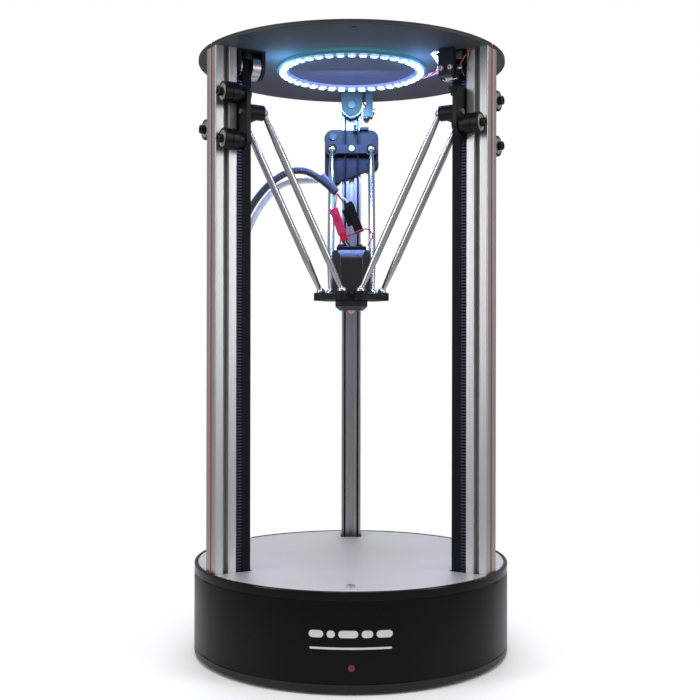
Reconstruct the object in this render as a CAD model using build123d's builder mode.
"""Delta printer: three belt-driven towers on a round base carry a print head on six rods.

Millimetres, +Z up.  The origin is the centre of the footprint, on the surface that the feet
stand on.  The back tower is towards +Y; the left and right towers are turned 120 degrees.
"""
from math import cos, pi, radians, sin, sqrt, tan
import os

from build123d import *

os.makedirs("parts", exist_ok=True)

# ---------------------------------------------------------------- driving dimensions
base_radius = 108
base_wall = 2.2
foot_height = 2
socket_height = 24
socket_face = 107.2
socket_depth = 11
socket_back = 2
socket_gap = 0.2
power_angle = 19
power_radius = 5
data_angle = -19
data_width = 12
data_height = 10.8
floor_thickness = 4.6
shell_height = 50
trim_height = 5.9
bed_thickness = 3
bed_drop = 0.4
bed_gap = 0.3
bed_notch = 78.4
bed_screw_circle = 94.6
feet_circle = 88
board_holes = 45
board_stand = 5
board_thickness = 1.6

column_radius = 97.8
column_width = 15
slot_width = 3.5
plate_radius = 105.8
plate_thickness = 2.8
plate_underside = 402.9

belt_width = 6
belt_thickness = 1.4
belt_inner_bend = 4.2
belt_near = 79.5
idler_height = 393
motor_height = 33
drum_near = 73.4
drum_radius = 8.3
tooth_radius = 3.9
flange_radius = 6.4
flange_thickness = 0.7
pulley_gap = 0.4
shaft_radius = 2.5
cheek_radius = 8
inner_cheek = 70.2
inner_cheek_thickness = 2.4
outer_cheek = 87.5
outer_cheek_thickness = 2
pivot_radius = 1.5
motor_size = 42.3
motor_length = 34
motor_face = 74.5
motor_boss = 11
motor_boss_height = 2
motor_mount = 3
motor_top = 54.2

switch_near = 73.4
switch_far = 86.2
switch_side = 9
switch_width = 4.8
switch_bottom = 385
switch_height = 6.6
holder_near = 75
holder_far = 84.6
holder_thickness = 2.4
switch_pivot = 85.3

wheel_radius = 6.85
wheel_width = 9.8
wheel_middle = 98.8
axle_offset = 14.5
axle_radius = 1.5
axle_head_radius = 2.85
axle_head_height = 3
spacer_radius = 4.8
running_gap = 0.1
bearing_gap = 0.2
carriage_near = 86.3
carriage_thickness = 3
carriage_corner = 6.3
shelf_near = 80.2
shelf_height = 376.3
shelf_thickness = 1.8
clamp_near = 77.4
bar_near = 76.2
bar_height = 6.4
bar_screw_side = 12.5
bar_screw_height = 361.1

ball_radius = 3.175
cup_radius = 3.75
cup_outside = 5
cup_rim = 0.6
cup_depth = 3.75
ball_spread = 15
upper_ball_radius = 75
upper_ball_height = 360.5
lower_ball_radius = 16
lower_ball_height = 247
rod_radius = 2.5
stem_radius = 1.6
taper_end = 24

effector_bottom = 241
effector_thickness = 4.5
head_top = 275.6
nozzle_tip = 231.4

led_circle = 48
led_count = 40
led_size = 4.6
led_thickness = 1.4
led_board_width = 8
led_board_bottom = 400
led_board_thickness = 1.6

hose_diameter = 4.7
tube_diameter = 4
hose_foot = (-92, -21)
tube_foot = (-87.2, -16.9)
gland_top = 66

# ---------------------------------------------------------------- levels that follow
floor_bottom = foot_height
floor_top = floor_bottom + floor_thickness
shell_top = floor_top + shell_height
trim_top = shell_top + trim_height
bed_top = trim_top - bed_drop
bed_bottom = bed_top - bed_thickness
plate_top = plate_underside + plate_thickness
inner_radius = base_radius - base_wall
belt_far = belt_near + belt_width
column_face = column_radius - column_width / 2
column_back_face = column_radius + column_width / 2
board_bottom = floor_top + board_stand
board_top = board_bottom + board_thickness
led_board_top = led_board_bottom + led_board_thickness
wheel_far = wheel_middle + wheel_width / 2
wheel_near = wheel_middle - wheel_width / 2
carriage_far = carriage_near + carriage_thickness
bar_far = belt_near - 0.3
low_axle = 341.7
middle_axle = 352.2
high_axle = 371.6
switch_top = switch_bottom + switch_height
switch_middle = switch_side + switch_width / 2
holder_side = switch_side + switch_width

TOWERS = {"back": 90, "left": 210, "right": 330}


# ---------------------------------------------------------------- places
def outward(tower):
    """Unit vector from the middle of the printer to a tower."""
    angle = radians(TOWERS[tower])
    return Vector(cos(angle), sin(angle), 0)


def across(tower):
    """Unit vector to the right, for someone in the middle who looks at a tower."""
    angle = radians(TOWERS[tower])
    return Vector(sin(angle), -cos(angle), 0)


def facing(tower, radius):
    """Upright plane at a tower: x runs across, y is up, and it faces the middle."""
    return Plane(origin=outward(tower) * radius, x_dir=across(tower), z_dir=outward(tower) * -1)


def wall(angle, radius, height):
    """Upright plane on the base's wall at an angle from the back, facing the middle."""
    turn = radians(90 + angle)
    out = Vector(cos(turn), sin(turn), 0)
    return Plane(origin=out * radius + Vector(0, 0, height), x_dir=(out.Y, -out.X, 0), z_dir=out * -1)


def level(tower, height):
    """Level plane at a tower: x runs across and y runs outward."""
    return Plane(origin=(0, 0, height), x_dir=across(tower), z_dir=(0, 0, 1))


def beside(tower, offset):
    """Upright plane along a tower's radius: x runs outward, y is up, and it faces across."""
    return Plane(origin=across(tower) * offset, x_dir=outward(tower), z_dir=across(tower))


def along(start, end):
    """Plane that holds the line from start to end as its y axis."""
    line = (end - start).normalized()
    side = line.cross(Vector(0, 0, 1)).normalized()
    return Plane(origin=start, x_dir=side, z_dir=side.cross(line))


def ball_points(tower, radius, height):
    """Centres of a tower's two ball joints at one end of its rods."""
    middle = outward(tower) * radius + Vector(0, 0, height)
    return [middle + across(tower) * side * ball_spread for side in (-1, 1)]


def save(part, name):
    """Label a finished piece and write it."""
    part.label = name
    export_step(part, f"parts/{name}.step")


# ---------------------------------------------------------------- base
with BuildPart() as base_floor:
    with BuildSketch(Plane.XY.offset(floor_bottom)):
        Circle(base_radius)
    extrude(amount=floor_thickness)
    chamfer(base_floor.edges().filter_by(GeomType.CIRCLE), 0.4)
    for tower in TOWERS:
        with BuildSketch(level(tower, floor_bottom)):
            with Locations((0, column_radius)):
                Circle(1.6)
        extrude(amount=floor_thickness, mode=Mode.SUBTRACT)
save(base_floor.part, "base_floor")

with BuildPart() as base_shell:
    with BuildSketch(Plane.XY.offset(floor_top)):
        Circle(base_radius)
        Circle(inner_radius, mode=Mode.SUBTRACT)
    extrude(amount=shell_height)
    chamfer(base_shell.edges().filter_by(GeomType.CIRCLE).group_by(SortBy.RADIUS)[-1], 0.35)
    for tower in TOWERS:
        for middle in (floor_top + 0.5, shell_top - 0.5):
            with BuildSketch(facing(tower, base_radius)):
                with Locations((0, middle)):
                    Rectangle(9, 1)
            extrude(amount=0.7, mode=Mode.SUBTRACT)
    with BuildSketch(wall(power_angle, base_radius, socket_height)):
        Circle(power_radius + socket_gap)
    extrude(amount=base_wall * 2, mode=Mode.SUBTRACT)
    with BuildSketch(wall(data_angle, base_radius, socket_height)):
        RectangleRounded(data_width + 2 * socket_gap, data_height + 2 * socket_gap, 0.8)
    extrude(amount=base_wall * 2, mode=Mode.SUBTRACT)
save(base_shell.part, "base_shell")

with BuildPart() as base_trim_ring:
    with BuildSketch(Plane.XZ):
        with BuildLine():
            Polyline((inner_radius, trim_top - 1), (inner_radius, shell_top), (base_radius, shell_top),
                     (base_radius, trim_top - 1))
            ThreePointArc((base_radius, trim_top - 1), (base_radius - base_wall / 2, trim_top),
                          (inner_radius, trim_top - 1))
        make_face()
    revolve(axis=Axis.Z)
save(base_trim_ring.part, "base_trim_ring")

with BuildPart() as bed_plate:
    with BuildSketch(Plane.XY.offset(bed_bottom)):
        Circle(inner_radius - bed_gap)
    extrude(amount=bed_thickness)
    chamfer(bed_plate.edges().filter_by(GeomType.CIRCLE).group_by(Axis.Z)[-1], 0.3)
    for tower in TOWERS:
        with BuildSketch(level(tower, bed_bottom)):
            with Locations((0, (bed_notch + base_radius) / 2)):
                Rectangle(column_width + 0.8, base_radius - bed_notch)
        extrude(amount=bed_thickness, mode=Mode.SUBTRACT)
    with BuildSketch(Plane.XY.offset(bed_bottom)):
        with PolarLocations(bed_screw_circle, 3, start_angle=30):
            Circle(1.6)
        with Locations(hose_foot, tube_foot):
            Circle(3.2)
    extrude(amount=bed_thickness, mode=Mode.SUBTRACT)
save(bed_plate.part, "bed_plate")

with BuildPart() as rubber_feet:
    with BuildSketch():
        with PolarLocations(feet_circle, 6, start_angle=30):
            Circle(8)
    extrude(amount=foot_height)
    chamfer(rubber_feet.edges().group_by(Axis.Z)[0], 0.5)
save(rubber_feet.part, "rubber_feet")

with BuildPart() as rear_sockets:
    with BuildSketch(wall(power_angle, socket_face, socket_height)):
        Circle(power_radius)
        Circle(3.2, mode=Mode.SUBTRACT)
        Circle(1)
    extrude(amount=socket_depth)
    with BuildSketch(wall(power_angle, socket_face - socket_depth, socket_height)):
        Circle(power_radius)
    extrude(amount=socket_back)
    with BuildSketch(wall(data_angle, socket_face, socket_height)):
        RectangleRounded(data_width, data_height, 0.7)
        Rectangle(8.4, 7.6, mode=Mode.SUBTRACT)
        Rectangle(5.6, 3.2)
    extrude(amount=socket_depth)
    with BuildSketch(wall(data_angle, socket_face - socket_depth, socket_height)):
        RectangleRounded(data_width, data_height, 0.7)
    extrude(amount=socket_back)
save(rear_sockets.part, "rear_sockets")

with BuildPart() as controller_board:
    with BuildSketch(Plane.XY.offset(board_bottom)):
        RectangleRounded(board_holes + 7, board_holes + 7, 2)
        with GridLocations(board_holes, board_holes, 2, 2):
            Circle(1.6, mode=Mode.SUBTRACT)
    extrude(amount=board_thickness)
    with BuildSketch(Plane.XY.offset(floor_top)):
        with GridLocations(board_holes, board_holes, 2, 2):
            Circle(3)
    extrude(amount=board_stand)
    with BuildSketch(Plane.XY.offset(board_top)):
        with Locations((0, 4)):
            Rectangle(14, 14)
        with GridLocations(15, 0, 3, 1):
            with Locations((0, -12)):
                Rectangle(9, 9)
        with Locations((0, 20)):
            Rectangle(34, 6)
    extrude(amount=3)
save(controller_board.part, "controller_board")


# ---------------------------------------------------------------- columns and top plate
def slot_outline():
    """Half-closed T slot that opens towards +x, with a small bevel at its mouth."""
    face = column_width / 2
    bevel = 0.3
    lip = 1.8
    half = slot_width / 2
    upper = [(face, half + bevel), (face - bevel, half), (face - lip, half), (face - lip, half + 1.3),
             (face - lip - 1.4, half + 1.3), (face - lip - 2.5, half + 0.2)]
    lower = [(x, -y) for x, y in reversed(upper)]
    return upper + lower


def column(tower):
    with BuildPart() as part:
        with BuildSketch(level(tower, floor_top)):
            with Locations((0, column_radius)):
                RectangleRounded(column_width, column_width, 0.6)
                Circle(1.4, mode=Mode.SUBTRACT)
            for turn in (0, 90, 180, 270):
                with Locations(Location((0, column_radius, 0), (0, 0, turn))):
                    Polygon(*slot_outline(), align=None, mode=Mode.SUBTRACT)
        extrude(amount=plate_underside - floor_top)
    return part.part


for tower in TOWERS:
    save(column(tower), f"column_{tower}")

with BuildPart() as top_plate:
    with BuildSketch(Plane.XY.offset(plate_underside)):
        Circle(plate_radius)
        with Locations((1, -99)):
            Circle(1.7, mode=Mode.SUBTRACT)
        with Locations(Location((-100.5, -9, 0), (0, 0, 84))):
            SlotOverall(6, 2.6, mode=Mode.SUBTRACT)
    extrude(amount=plate_thickness)
    chamfer(top_plate.edges().filter_by(GeomType.CIRCLE).group_by(SortBy.RADIUS)[-1], 0.3)
    for tower in TOWERS:
        with BuildSketch(level(tower, plate_underside)):
            with Locations((0, plate_radius - 0.5)):
                Rectangle(3.6, 3)
            with Locations((0, column_radius)):
                Circle(1.6)
        extrude(amount=plate_thickness, mode=Mode.SUBTRACT)
        with BuildSketch(level(tower, plate_top - 1.5)):
            with Locations((0, column_radius)):
                Circle(3.2)
        extrude(amount=1.5, mode=Mode.SUBTRACT)
save(top_plate.part, "top_plate")

with BuildPart() as led_ring_board:
    with BuildSketch(Plane.XY.offset(led_board_bottom)):
        Circle(led_circle + led_board_width / 2)
        Circle(led_circle - led_board_width / 2, mode=Mode.SUBTRACT)
    extrude(amount=led_board_thickness)
    with BuildSketch(Plane.XY.offset(led_board_top)):
        with PolarLocations(led_circle, 3, start_angle=15):
            Circle(1.8)
    extrude(amount=plate_underside - led_board_top)
save(led_ring_board.part, "led_ring_board")

with BuildPart() as led_chips:
    with BuildSketch(Plane.XY.offset(led_board_bottom - led_thickness)):
        with PolarLocations(led_circle, led_count):
            RectangleRounded(led_size, led_size, 0.4)
    extrude(amount=led_thickness)
save(led_chips.part, "led_chips")

# ---------------------------------------------------------------- drive
bracket_far = outer_cheek + outer_cheek_thickness
with BuildPart() as idler_brackets:
    for tower in TOWERS:
        for near, thickness in ((inner_cheek, inner_cheek_thickness), (outer_cheek, outer_cheek_thickness)):
            with BuildSketch(facing(tower, near + thickness)):
                with Locations((0, idler_height)):
                    Circle(cheek_radius)
                with Locations((0, (idler_height + plate_underside) / 2)):
                    Rectangle(2 * cheek_radius, plate_underside - idler_height)
                with Locations((0, idler_height)):
                    Circle(pivot_radius, mode=Mode.SUBTRACT)
            extrude(amount=thickness)
        with BuildSketch(level(tower, plate_underside)):
            with Locations((0, (inner_cheek + bracket_far) / 2)):
                Rectangle(2 * cheek_radius, bracket_far - inner_cheek)
        extrude(amount=-1.2)
save(idler_brackets.part, "idler_brackets")


def belt_outline(bend):
    """Race-track outline of the belt loop around idler and motor, bent at a radius."""
    with Locations((0, (idler_height + motor_height) / 2)):
        SlotCenterToCenter(idler_height - motor_height, 2 * bend, rotation=90)


with BuildPart() as drive_belts:
    for tower in TOWERS:
        with BuildSketch(facing(tower, belt_far)):
            belt_outline(belt_inner_bend + belt_thickness)
        extrude(amount=belt_width)
        with BuildSketch(facing(tower, belt_far)):
            belt_outline(belt_inner_bend)
        extrude(amount=belt_width, mode=Mode.SUBTRACT)
save(drive_belts.part, "drive_belts")


def turned(tower, height, steps):
    """Stepped round solid on a belt axis, from (outer end, inner end, radius) of each step."""
    with BuildPart() as part:
        for far, near, radius in steps:
            with BuildSketch(facing(tower, far)):
                with Locations((0, height)):
                    Circle(radius)
            extrude(amount=far - near)
    return part.part


def idler_pulley(tower):
    """Free pulley: a wide drum on its inner side, a flange on its outer side and a bore."""
    outer = belt_far + pulley_gap
    inner = belt_near - pulley_gap
    steps = ((inner, drum_near, drum_radius), (outer, inner, tooth_radius),
             (outer + flange_thickness, outer, flange_radius))
    with BuildPart() as part:
        add(turned(tower, idler_height, steps))
        with BuildSketch(facing(tower, outer + flange_thickness)):
            with Locations((0, idler_height)):
                Circle(pivot_radius + running_gap)
        extrude(amount=outer + flange_thickness - drum_near, mode=Mode.SUBTRACT)
    return part.part


def motor_pulley(tower):
    """Driving pulley: two flanges, a hub on its outer side and the motor's shaft through it."""
    outer = belt_far + pulley_gap
    inner = belt_near - pulley_gap
    hub = outer + flange_thickness + 2.5
    steps = ((inner, inner - flange_thickness, flange_radius), (outer, inner, tooth_radius),
             (outer + flange_thickness, outer, flange_radius), (hub, outer + flange_thickness, 5),
             (inner - flange_thickness, motor_face + 2.3, shaft_radius), (hub + 0.7, hub, shaft_radius))
    return turned(tower, motor_height, steps)


for tower in TOWERS:
    save(idler_pulley(tower), f"idler_pulley_{tower}")
    save(motor_pulley(tower), f"motor_pulley_{tower}")

with BuildPart() as stepper_motors:
    for tower in TOWERS:
        with BuildSketch(facing(tower, motor_face)):
            with Locations((0, motor_height)):
                RectangleRounded(motor_size, motor_size, 4)
        extrude(amount=motor_length)
        with BuildSketch(facing(tower, motor_face + motor_boss_height)):
            with Locations((0, motor_height)):
                Circle(motor_boss)
        extrude(amount=motor_boss_height)
        with BuildSketch(facing(tower, motor_face + motor_mount)):
            with Locations((0, (floor_top + motor_top) / 2)):
                Rectangle(motor_size, motor_top - floor_top)
            with Locations((0, motor_height)):
                Circle(motor_boss + 0.2, mode=Mode.SUBTRACT)
        extrude(amount=motor_mount)
        with BuildSketch(level(tower, floor_top)):
            with Locations((0, motor_face + motor_mount + 4)):
                Rectangle(motor_size, 8)
        extrude(amount=motor_mount)
save(stepper_motors.part, "stepper_motors")

# ---------------------------------------------------------------- end-stop switches
with BuildPart() as endstop_switches:
    for tower in TOWERS:
        with BuildSketch(facing(tower, switch_far)):
            with Locations((switch_middle, (switch_bottom + switch_top) / 2)):
                Rectangle(switch_width, switch_height)
        extrude(amount=switch_far - switch_near)
        with BuildSketch(beside(tower, holder_side)):
            with Locations(((holder_near + holder_far) / 2, (switch_bottom + plate_underside) / 2)):
                Rectangle(holder_far - holder_near, plate_underside - switch_bottom)
        extrude(amount=holder_thickness)
        with BuildSketch(beside(tower, holder_side)):
            with Locations(((holder_near + holder_far) / 2, (switch_top + plate_underside) / 2)):
                Rectangle(holder_far - holder_near, plate_underside - switch_top)
        extrude(amount=-2.8)
        with BuildSketch(beside(tower, holder_side + holder_thickness)):
            with Locations((holder_near + 1.5, switch_top - 2), (holder_far - 1.6, switch_top - 2)):
                Circle(1.8)
                RegularPolygon(0.9, 6, mode=Mode.SUBTRACT)
        extrude(amount=1.2)
        with BuildSketch(beside(tower, holder_side)):
            with Locations((switch_pivot, switch_bottom - 0.4)):
                Circle(0.6)
        extrude(amount=-switch_width)
save(endstop_switches.part, "endstop_switches")


def switch_lever(tower):
    """Spring-metal lever under a switch, pivoted near its outer end, with a bump at its tip."""
    top = switch_bottom - 1.5
    root = switch_pivot + 0.3
    with BuildPart() as part:
        with BuildSketch(beside(tower, switch_middle + 1.7)):
            with BuildLine():
                Polyline((root, top), (root, top - 0.5), (root - 8, top - 1.2), (root - 9.4, top - 0.5),
                         (root - 9.7, top - 0.9), (root - 8.1, top - 1.7), (root + 0.3, top - 1),
                         (root + 0.3, top), close=True)
            make_face()
        extrude(amount=-3.4)
    return part.part


for tower in TOWERS:
    save(switch_lever(tower), f"switch_lever_{tower}")


# ---------------------------------------------------------------- carriages
def carriage_plate(tower):
    """Sloping three-wheel plate, with the belt clamp and the shelf that meets the switch."""
    corners = [(-axle_offset, high_axle - 0.8), (-axle_offset, low_axle), (axle_offset, middle_axle),
               (axle_offset, high_axle - 1)]
    axles = [(-axle_offset, high_axle), (-axle_offset, low_axle), (axle_offset, middle_axle)]
    with BuildPart() as part:
        with BuildSketch(facing(tower, carriage_far)):
            with Locations(*corners):
                Circle(carriage_corner)
            make_hull()
            with Locations(*axles):
                Circle(axle_radius, mode=Mode.SUBTRACT)
        extrude(amount=carriage_thickness)
        chamfer(part.faces().sort_by(Axis((0, 0, 0), outward(tower)))[0].outer_wire().edges(), 0.4)
        with BuildSketch(facing(tower, carriage_near)):
            with Locations((2.6, shelf_height + 0.7)):
                Rectangle(2.6, 5)
        extrude(amount=carriage_near - clamp_near)
        with BuildSketch(facing(tower, carriage_near)):
            with Locations((9.55, shelf_height + shelf_thickness / 2)):
                Rectangle(7.1, shelf_thickness)
        extrude(amount=carriage_near - shelf_near)
    return part.part


def joint_bar(tower):
    """Bar with a magnetic cup at each end, on two round bosses that stand off the carriage."""
    cups = [(-ball_spread, upper_ball_height), (ball_spread, upper_ball_height)]
    with BuildPart() as part:
        with BuildSketch(facing(tower, bar_far)):
            with Locations((0, upper_ball_height)):
                Rectangle(2 * ball_spread, bar_height)
        extrude(amount=bar_far - bar_near)
        with BuildSketch(facing(tower, carriage_near)):
            with Locations(*cups):
                Circle(cup_outside)
        extrude(amount=carriage_near - upper_ball_radius - cup_rim)
        with BuildSketch(facing(tower, upper_ball_radius + cup_depth)):
            with Locations(*cups):
                Circle(cup_radius)
        extrude(amount=cup_depth - cup_rim, mode=Mode.SUBTRACT)
        with BuildSketch(facing(tower, bar_near)):
            with Locations((0, upper_ball_height + 0.2)):
                Circle(2.6)
                RegularPolygon(1.3, 6, mode=Mode.SUBTRACT)
        extrude(amount=1.4)
    return part.part


def axle_screws(towers):
    """Spacer, shank, socket head and nut of every wheel axle on some towers' carriages."""
    places = ((-axle_offset, high_axle), (-axle_offset, low_axle), (axle_offset, middle_axle))
    head_near = wheel_far + bearing_gap
    head_far = head_near + axle_head_height
    nut = 2.2
    steps = ((wheel_near - bearing_gap, carriage_far, spacer_radius),
             (head_near, carriage_near - nut, axle_radius), (head_far, head_near, axle_head_radius),
             (carriage_near, carriage_near - nut, 2.7))
    with BuildPart() as part:
        for tower in towers:
            for far, near, radius in steps:
                with BuildSketch(facing(tower, far)):
                    with Locations(*places):
                        Circle(radius)
                extrude(amount=far - near)
            with BuildSketch(facing(tower, head_far)):
                with Locations(*places):
                    RegularPolygon(1.35, 6)
            extrude(amount=1.6, mode=Mode.SUBTRACT)
    return part.part


def bar_screws(towers):
    """Button heads that hold the joint bars, on the outer faces of some towers' carriages."""
    with BuildPart() as part:
        for tower in towers:
            with BuildSketch(facing(tower, carriage_far + 1.2)):
                with Locations((-bar_screw_side, bar_screw_height), (bar_screw_side, bar_screw_height)):
                    Circle(1.7)
                    RegularPolygon(0.9, 6, mode=Mode.SUBTRACT)
            extrude(amount=1.2)
    return part.part


def wheel(tower, place):
    """Grooved wheel that runs on a column's side face, with its bearings set into both ends."""
    with BuildPart() as part:
        with BuildSketch(facing(tower, wheel_far)):
            with Locations(place):
                Circle(wheel_radius)
        extrude(amount=wheel_width)
        chamfer(part.edges().filter_by(GeomType.CIRCLE), 0.5)
        with BuildSketch(facing(tower, wheel_middle + 0.3)):
            with Locations(place):
                Circle(wheel_radius)
                Circle(wheel_radius - 0.5, mode=Mode.SUBTRACT)
        extrude(amount=0.6, mode=Mode.SUBTRACT)
        with BuildSketch(facing(tower, wheel_far)):
            with Locations(place):
                Circle(axle_radius + running_gap)
        extrude(amount=wheel_width, mode=Mode.SUBTRACT)
    return part.part


for tower in TOWERS:
    save(carriage_plate(tower), f"carriage_plate_{tower}")
    save(joint_bar(tower), f"joint_bar_{tower}")
    save(wheel(tower, (-axle_offset, high_axle)), f"wheel_{tower}_upper")
    save(wheel(tower, (-axle_offset, low_axle)), f"wheel_{tower}_lower")
    save(wheel(tower, (axle_offset, middle_axle)), f"wheel_{tower}_single")
save(axle_screws(["left", "right"]), "carriage_screws_front")
save(bar_screws(["left", "right"]), "bar_screws_front")
with BuildPart() as carriage_screws_back:
    add(axle_screws(["back"]))
    add(bar_screws(["back"]))
save(carriage_screws_back.part, "carriage_screws_back")


# ---------------------------------------------------------------- rods
def rods(tower, sides):
    """Polished rods that narrow to a stem and end in a steel ball at both ends."""
    tops = ball_points(tower, upper_ball_radius, upper_ball_height)
    bottoms = ball_points(tower, lower_ball_radius, lower_ball_height)
    neck = sqrt(ball_radius ** 2 - stem_radius ** 2)
    with BuildPart() as part:
        for side in sides:
            top, bottom = tops[side], bottoms[side]
            length = (bottom - top).length
            with BuildSketch(along(top, bottom)):
                with BuildLine():
                    ThreePointArc((0, -ball_radius), (ball_radius, 0), (stem_radius, neck))
                    Polyline((stem_radius, neck), (rod_radius, taper_end),
                             (rod_radius, length - taper_end), (stem_radius, length - neck))
                    ThreePointArc((stem_radius, length - neck), (ball_radius, length),
                                  (0, length + ball_radius))
                    Line((0, length + ball_radius), (0, -ball_radius))
                make_face()
            revolve(axis=Axis(top, bottom - top))
    return part.part


save(rods("left", [0]), "arm_left_near")
save(rods("left", [1]), "arm_left_far")
save(rods("right", [1]), "arm_right_near")
save(rods("right", [0]), "arm_right_far")
save(rods("back", [0, 1]), "arms_back")

# ---------------------------------------------------------------- print head
lower_balls = [point for tower in TOWERS for point in ball_points(tower, lower_ball_radius, lower_ball_height)]
ball_places = [(point.X, point.Y) for point in lower_balls]

with BuildPart() as effector_plate:
    with BuildSketch(Plane.XY.offset(effector_bottom)):
        with Locations(*ball_places):
            Circle(4.6)
        make_hull()
        with Locations((0, -24)):
            RectangleRounded(5.6, 8, 2, mode=Mode.SUBTRACT)
        for tower in TOWERS:
            with Locations(Location((0, 0, 0), (0, 0, TOWERS[tower] - 90))):
                with Locations((0, 15.2)):
                    SlotOverall(13, 3.6, mode=Mode.SUBTRACT)
        Rectangle(16, 16, mode=Mode.SUBTRACT)
    extrude(amount=effector_thickness)
    chamfer(effector_plate.faces().sort_by(Axis.Z)[-1].outer_wire().edges(), 0.5)
    with BuildSketch(Plane.XY.offset(effector_bottom)):
        with Locations(*ball_places):
            Circle(cup_outside)
    extrude(amount=lower_ball_height - cup_rim - effector_bottom)
    with BuildSketch(Plane.XY.offset(lower_ball_height - cup_depth)):
        with Locations(*ball_places):
            Circle(cup_radius)
    extrude(amount=cup_depth - cup_rim, mode=Mode.SUBTRACT)
save(effector_plate.part, "effector_plate")

shell_bottom = effector_bottom + effector_thickness
with BuildPart() as hotend_shell:
    with BuildSketch(Plane.XY.offset(shell_bottom)):
        Polygon((-7.6, -14.5), (7.6, -14.5), (13.5, -8.5), (13.5, 5), (8, 10.5), (-8, 10.5), (-13.5, 5),
                (-13.5, -8.5), align=None)
    extrude(amount=head_top - shell_bottom)
    chamfer(hotend_shell.faces().sort_by(Axis.Z)[-1].edges(), 3)
    with BuildSketch(Plane.XY.offset(shell_bottom)):
        Rectangle(15.4, 15.4)
    extrude(amount=-effector_thickness)
    with BuildSketch(Plane.XY.offset(effector_bottom)):
        with Locations((0, -1)):
            Rectangle(22.4, 20)
    extrude(amount=-7.1)
    chamfer(hotend_shell.faces().sort_by(Axis.Z)[0].edges(), 2.8)
    with BuildSketch(Plane.XY.offset(effector_bottom - 7.1)):
        Circle(4)
    extrude(amount=20, mode=Mode.SUBTRACT)
save(hotend_shell.part, "hotend_shell")

with BuildPart() as hotend_cap:
    with BuildSketch(Plane.XY.offset(head_top)):
        with Locations((0, -1.5)):
            RectangleRounded(20.5, 15.5, 2)
    extrude(amount=2.6)
    chamfer(hotend_cap.faces().sort_by(Axis.Z)[-1].edges(), 0.6)
    with BuildSketch(Plane.XY.offset(head_top + 2.6)):
        with Locations((-7.2, 0), (5.4, 0)):
            RectangleRounded(4.6, 7, 1.2)
    extrude(amount=1.6)
save(hotend_cap.part, "hotend_cap")

with BuildPart() as nozzle:
    with BuildSketch(Plane.XY.offset(effector_bottom - 7)):
        RegularPolygon(3.6, 6)
    extrude(amount=5)
    with BuildSketch(Plane.XY.offset(effector_bottom - 2)):
        Circle(3)
    extrude(amount=14)
    with BuildSketch(Plane.XY.offset(effector_bottom - 7)):
        Circle(2.9)
    with BuildSketch(Plane.XY.offset(nozzle_tip)):
        Circle(0.5)
    loft()
save(nozzle.part, "nozzle")


def plug_plane(centre, lean):
    """Upright plane through a plug's centre, with its y axis leaning to the left by some degrees."""
    axis = Vector(-sin(radians(lean)), 0, cos(radians(lean)))
    return Plane(origin=centre, x_dir=(axis.Z, 0, -axis.X), z_dir=(0, -1, 0))


with BuildPart() as plug_red:
    with BuildSketch(plug_plane((-9.4, 2.4, 296.1), 20)):
        RectangleRounded(6.1, 19, 0.8)
    extrude(amount=4.8)
    with BuildSketch(plug_plane((-9.4, 1.8, 296.1), 20)):
        with Locations((0, -11.9)):
            RectangleRounded(5, 5.4, 0.8)
    extrude(amount=3.6)
save(plug_red.part, "plug_red")

with BuildPart() as plug_black:
    with BuildSketch(plug_plane((1.6, 6.9, 299.3), 22)):
        RectangleRounded(6.2, 22.5, 0.8)
    extrude(amount=5.2)
    with BuildSketch(plug_plane((1.6, 6.4, 299.3), 22)):
        with Locations((-4.3, 1.5)):
            RectangleRounded(3.4, 12, 0.6)
    extrude(amount=4.4)
save(plug_black.part, "plug_black")

# ---------------------------------------------------------------- hose, tube and leads
hose_route = [(-92, -21, 66), (-92, -21, 112), (-90.8, -19.4, 165), (-90.4, -19.6, 217), (-84, -17, 265),
              (-71.5, -11, 302), (-58, -2.5, 322), (-42, 3.5, 333), (-26, 7.5, 331.5), (-10.9, 7, 316.9)]
tube_route = [(-87.2, -16.9, 66), (-87.2, -16.9, 112), (-85.6, -14.6, 165), (-84.6, -14.4, 215),
              (-79.4, -12.5, 257), (-71.3, -7.3, 291), (-59.5, 1.2, 313.4), (-45, 8.8, 327), (-23.6, 12.6, 326.4)]


def bend_radii(route):
    """Bend radius at each inner point: 0.45 of the shorter run over the tangent of half the turn."""
    points = [Vector(*point) for point in route]
    radii = []
    for before, here, after in zip(points, points[1:], points[2:]):
        arriving = here - before
        leaving = after - here
        turn = arriving.get_angle(leaving)
        radii.append(0.45 * min(arriving.length, leaving.length) / tan(radians(turn / 2)))
    return radii


def tube(route, diameter, name):
    """Round tube of straight runs joined by tangent arcs."""
    radii = bend_radii(route)
    with BuildPart() as part:
        with BuildLine():
            path = FilletPolyline(*route, radius=radii)
        with BuildSketch(Plane(origin=path @ 0, z_dir=path % 0)):
            Circle(diameter / 2)
        sweep(path=path)
    section = pi * diameter ** 2 / 4
    print(name, "radii", [round(radius, 1) for radius in radii])
    print(name, "length", round(path.length, 1), "volume over section", round(part.part.volume / section, 1))
    return part.part


save(tube(hose_route, hose_diameter, "hose"), "hose")
save(tube(tube_route, tube_diameter, "bowden_tube"), "bowden_tube")

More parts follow.
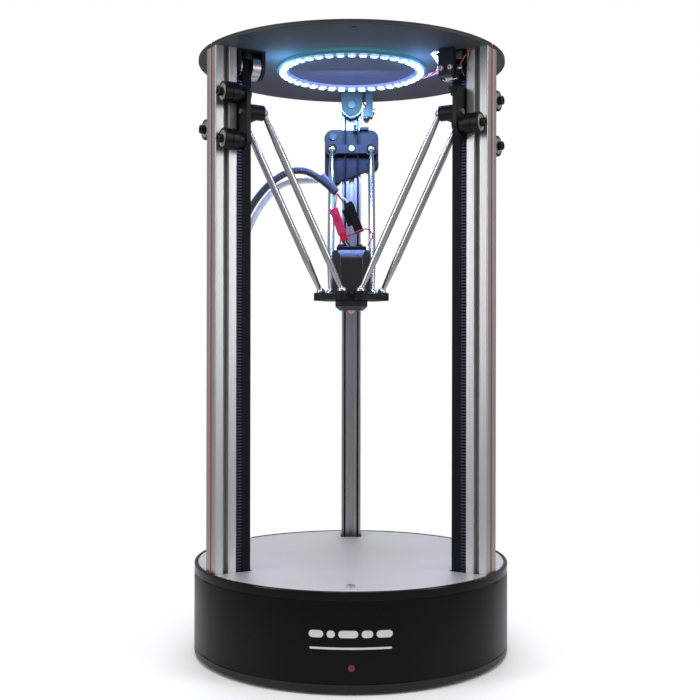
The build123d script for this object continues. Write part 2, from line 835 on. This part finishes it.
with BuildPart() as hose_glands:
    for place, radius in ((hose_foot, 2.9), (tube_foot, 2.6)):
        with BuildSketch(Plane.XY.offset(bed_bottom - 3)):
            with Locations(place):
                Circle(radius + 0.2)
        extrude(amount=bed_thickness + 3)
        with BuildSketch(Plane.XY.offset(bed_top)):
            with Locations(place):
                RegularPolygon(radius + 0.5, 6)
        extrude(amount=2)
        with BuildSketch(Plane.XY.offset(bed_top + 2)):
            with Locations(place):
                Circle(radius)
        extrude(amount=gland_top - bed_top - 2)
save(hose_glands.part, "hose_glands")

with BuildPart() as tower_leads:
    for tower in TOWERS:
        with BuildSketch(level(tower, floor_top + 0.5)):
            with Locations((0, column_back_face - 0.8)):
                RectangleRounded(3, 1.4, 0.4)
        extrude(amount=plate_top - floor_top - 0.7)
    with BuildSketch(Plane.XY.offset(plate_underside)):
        with BuildLine():
            lead = FilletPolyline((50.2, 24), (60.5, 8), (61, -14), (55.5, -36), (52.9, -43.3), (57.2, -47),
                                  radius=[6, 12, 12, 4])
        trace(lead, line_width=3.4)
    extrude(amount=-1.1)
save(tower_leads.part, "tower_leads")

# ---------------------------------------------------------------- fasteners of the frame
with BuildPart() as frame_screws:
    for tower in TOWERS:
        with BuildSketch(facing(tower, bracket_far)):
            with Locations((0, idler_height)):
                Circle(pivot_radius)
        extrude(amount=bracket_far - inner_cheek)
        with BuildSketch(facing(tower, inner_cheek)):
            with Locations((0, idler_height)):
                Circle(2.7)
                RegularPolygon(1.3, 6, mode=Mode.SUBTRACT)
        extrude(amount=1.6)
        with BuildSketch(level(tower, plate_top - 1.5)):
            with Locations((0, column_radius)):
                Circle(3.1)
                RegularPolygon(1.3, 6, mode=Mode.SUBTRACT)
        extrude(amount=1.4)
        with BuildSketch(level(tower, plate_top - 1.5)):
            with Locations((0, column_radius)):
                Circle(1.35)
        extrude(amount=-11)
        with BuildSketch(level(tower, floor_bottom + 0.2)):
            with Locations((0, column_radius)):
                Circle(1.35)
        extrude(amount=14)
    with BuildSketch(Plane.XY.offset(bed_top)):
        with PolarLocations(bed_screw_circle, 3, start_angle=30):
            Circle(2.7)
            RegularPolygon(1.3, 6, mode=Mode.SUBTRACT)
    extrude(amount=1.5)
    with BuildSketch(Plane.XY.offset(bed_top)):
        with PolarLocations(bed_screw_circle, 3, start_angle=30):
            Circle(1.5)
    extrude(amount=-9)
save(frame_screws.part, "frame_screws")
